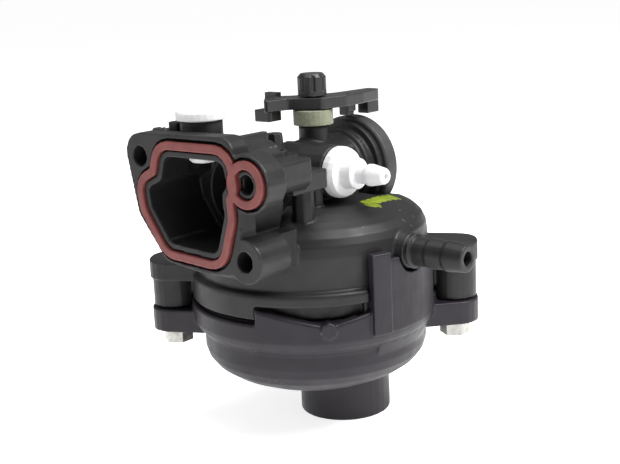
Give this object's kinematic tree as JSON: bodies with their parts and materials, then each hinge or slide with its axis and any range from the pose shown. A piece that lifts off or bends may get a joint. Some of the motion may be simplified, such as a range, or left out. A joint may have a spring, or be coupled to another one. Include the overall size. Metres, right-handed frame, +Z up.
{
  "type": "carburetor",
  "caption": "Black plastic float-bowl carburetor of a small engine, with a throttle lever, a primer nozzle, a fuel barb and a sealed inlet flange.",
  "frame": {"origin": "centre of the air inlet on the flange's sealing face, on the bore's axis", "axes": "+Y along the bore from the air inlet to the engine spigot, +X towards the primer nozzle and the fuel inlet, +Z up"},
  "size_m": [0.0792, 0.0695, 0.0847],
  "materials": {
    "main_body": "black glass-filled nylon, satin moulded skin",
    "float_bowl": "black nylon, satin",
    "bowl_gasket": "smooth black rubber cord",
    "bowl_screw_right": "zinc plated",
    "bowl_screw_left": "zinc plated",
    "inlet_seal": "red-brown silicone",
    "spigot_seal": "black rubber ring",
    "throttle_shaft": "black nylon with a fluted head",
    "throttle_lever": "black nylon, smooth",
    "throttle_plate": "stamped brass disc",
    "throttle_washer": "pale olive felt washer",
    "choke_plug": "milky white acetal",
    "primer_nozzle": "milky white acetal",
    "nozzle_oring": "black rubber",
    "pilot_jet": "black nylon",
    "emulsion_tube": "machined brass",
    "main_jet": "machined brass",
    "needle_seat": "black rubber",
    "inlet_needle": "polished steel",
    "float": "light moulded plastic",
    "float_pin": "ground steel"
  },
  "bodies": {
    "housing": {"main_body": "main_body", "float_bowl": "float_bowl", "bowl_gasket": "bowl_gasket", "bowl_screw_right": "bowl_screw_right", "bowl_screw_left": "bowl_screw_left", "inlet_seal": "inlet_seal", "spigot_seal": "spigot_seal", "throttle_washer": "throttle_washer", "choke_plug": "choke_plug", "primer_nozzle": "primer_nozzle", "nozzle_oring": "nozzle_oring", "pilot_jet": "pilot_jet", "emulsion_tube": "emulsion_tube", "main_jet": "main_jet", "needle_seat": "needle_seat", "float_pin": "float_pin"},
    "throttle": {"throttle_shaft": "throttle_shaft", "throttle_lever": "throttle_lever", "throttle_plate": "throttle_plate"},
    "float_arm": {"float": "float"},
    "needle": {"inlet_needle": "inlet_needle"}
  },
  "joints": [
    {"name": "throttle_turn", "type": "hinge", "parent": "housing", "child": "throttle", "pos_m": [0, 0.0428, 0], "axis": [0, 0, 1], "range_deg": [0, 75]},
    {"name": "float_swing", "type": "hinge", "parent": "housing", "child": "float_arm", "pos_m": [0.0206, 0.0402, -0.0294], "axis": [0, -1, 0], "range_deg": [0, 6]},
    {"name": "needle_drop", "type": "slide", "parent": "housing", "child": "needle", "axis": [0, 0, -1], "range_m": [0, 0.00075]}
  ],
  "couplings": [
    {"joint": "needle_drop", "follows": "float_swing", "m_per_rad": 0.0068}
  ]
}
